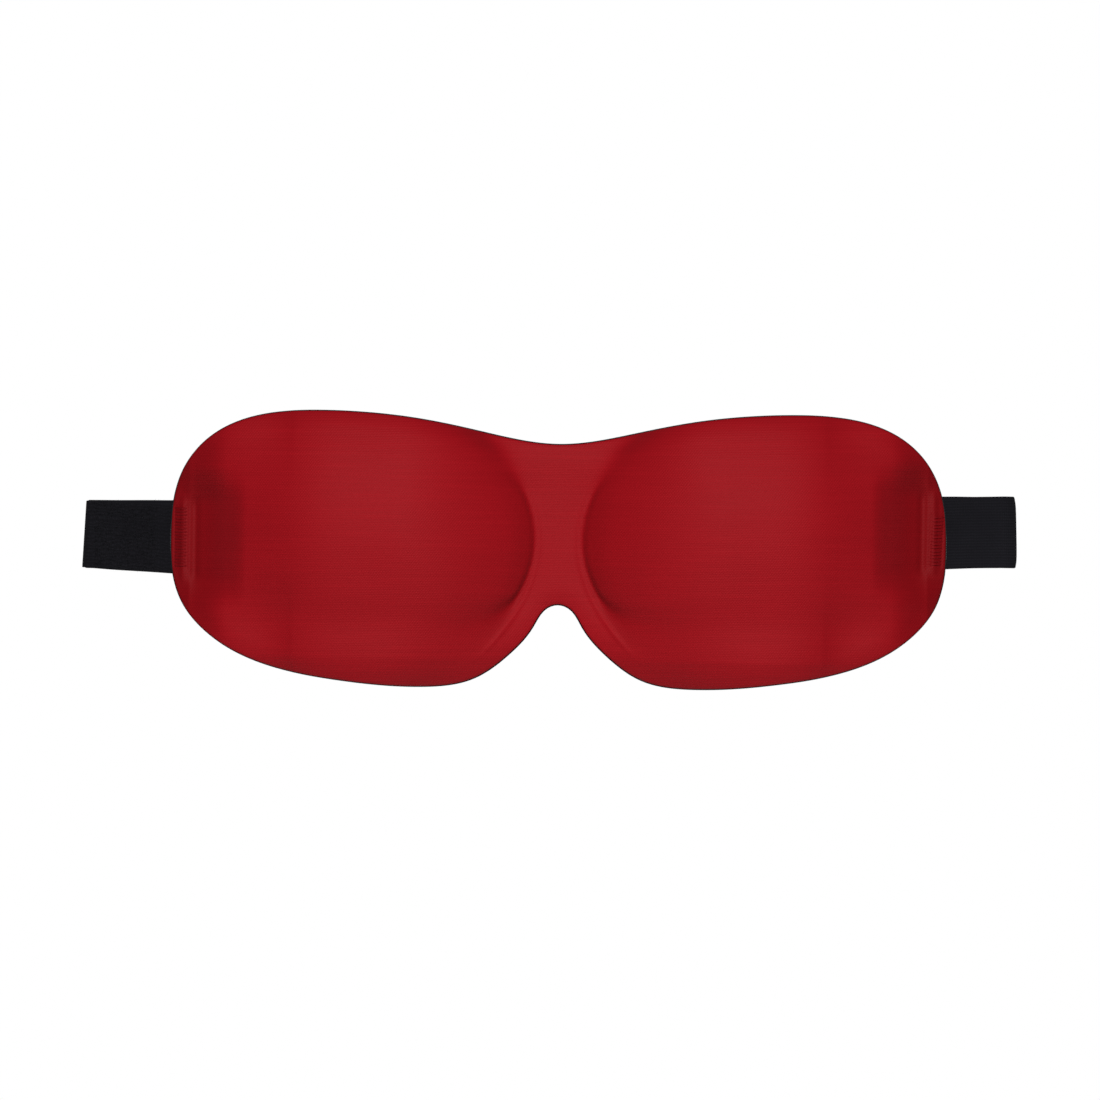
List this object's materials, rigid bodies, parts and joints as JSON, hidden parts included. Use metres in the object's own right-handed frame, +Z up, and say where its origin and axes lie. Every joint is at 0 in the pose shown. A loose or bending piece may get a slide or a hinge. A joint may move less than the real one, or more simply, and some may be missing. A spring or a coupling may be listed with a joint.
{
  "type": "sleep eye mask",
  "caption": "Contoured sleep eye mask: moulded foam shell with domed eye cups, red knit face, nose notch and black elastic head straps that close with hook and loop.",
  "frame": {"origin": "middle of the nose bridge on the skin side of the lining", "axes": "+X to the right seen from the front, +Y back towards the wearer's face, +Z up; the front faces -Y"},
  "size_m": [0.2769, 0.0429, 0.0813],
  "materials": {
    "cover": "matt fine knit, deep red",
    "foam": "soft closed-cell foam, black at the cut edge",
    "lining": "soft black brushed lining",
    "webbing": "black ribbed elastic webbing",
    "loop_pile": "black brushed loop pile",
    "hook_tape": "black nylon hook tape",
    "red_thread": "red polyester sewing thread",
    "black_thread": "black polyester sewing thread"
  },
  "bodies": {
    "mask": {"front_cover": "cover", "foam_core": "foam", "inner_lining": "lining", "bartack_left": "red_thread", "bartack_right": "red_thread", "strap_left_sewn_end": "webbing", "loop_pile_sewn_end": "loop_pile", "strap_right_sewn_end": "webbing"},
    "left_tab": {"strap_left_stub": "webbing", "loop_pile_stub": "loop_pile", "strap_left_fold": "webbing", "loop_pile_fold": "loop_pile"},
    "left_strap": {"strap_left_run": "webbing", "loop_pile_run": "loop_pile"},
    "right_tab": {"strap_right_stub": "webbing", "strap_right_fold": "webbing"},
    "right_strap": {"strap_right_run": "webbing"},
    "right_end": {"strap_right_tip": "webbing", "hook_patch": "hook_tape", "hook_patch_stitching": "black_thread"}
  },
  "joints": [
    {"name": "right_tab_swing", "type": "hinge", "parent": "mask", "child": "right_tab", "pos_m": [0.1166, 0.0077, 0.0059], "axis": [0, 0, 1], "range_deg": [0, 90]},
    {"name": "right_strap_unfold", "type": "hinge", "parent": "right_tab", "child": "right_strap", "pos_m": [0.132, 0.011, 0.0064], "axis": [0, 0, -1], "range_deg": [0, 180], "deforming": ["strap_right_fold"]},
    {"name": "closure_peel", "type": "hinge", "parent": "right_strap", "child": "right_end", "pos_m": [-0.021, 0.0143, 0.0045], "axis": [0, 0, -1], "range_deg": [0, 75]},
    {"name": "left_tab_swing", "type": "hinge", "parent": "mask", "child": "left_tab", "pos_m": [-0.1166, 0.0079, 0.0023], "axis": [0, 0, -1], "range_deg": [0, 90]},
    {"name": "left_strap_unfold", "type": "hinge", "parent": "left_tab", "child": "left_strap", "pos_m": [-0.1383, 0.0096, 0.003], "axis": [0, 0, 1], "range_deg": [0, 180], "deforming": ["strap_left_fold", "loop_pile_fold"]}
  ],
  "couplings": [
    {"joint": "right_tab_swing", "follows": "right_strap_unfold", "ratio": 0.5},
    {"joint": "left_strap_unfold", "follows": "right_strap_unfold", "ratio": 1},
    {"joint": "left_tab_swing", "follows": "right_strap_unfold", "ratio": 0.5}
  ]
}
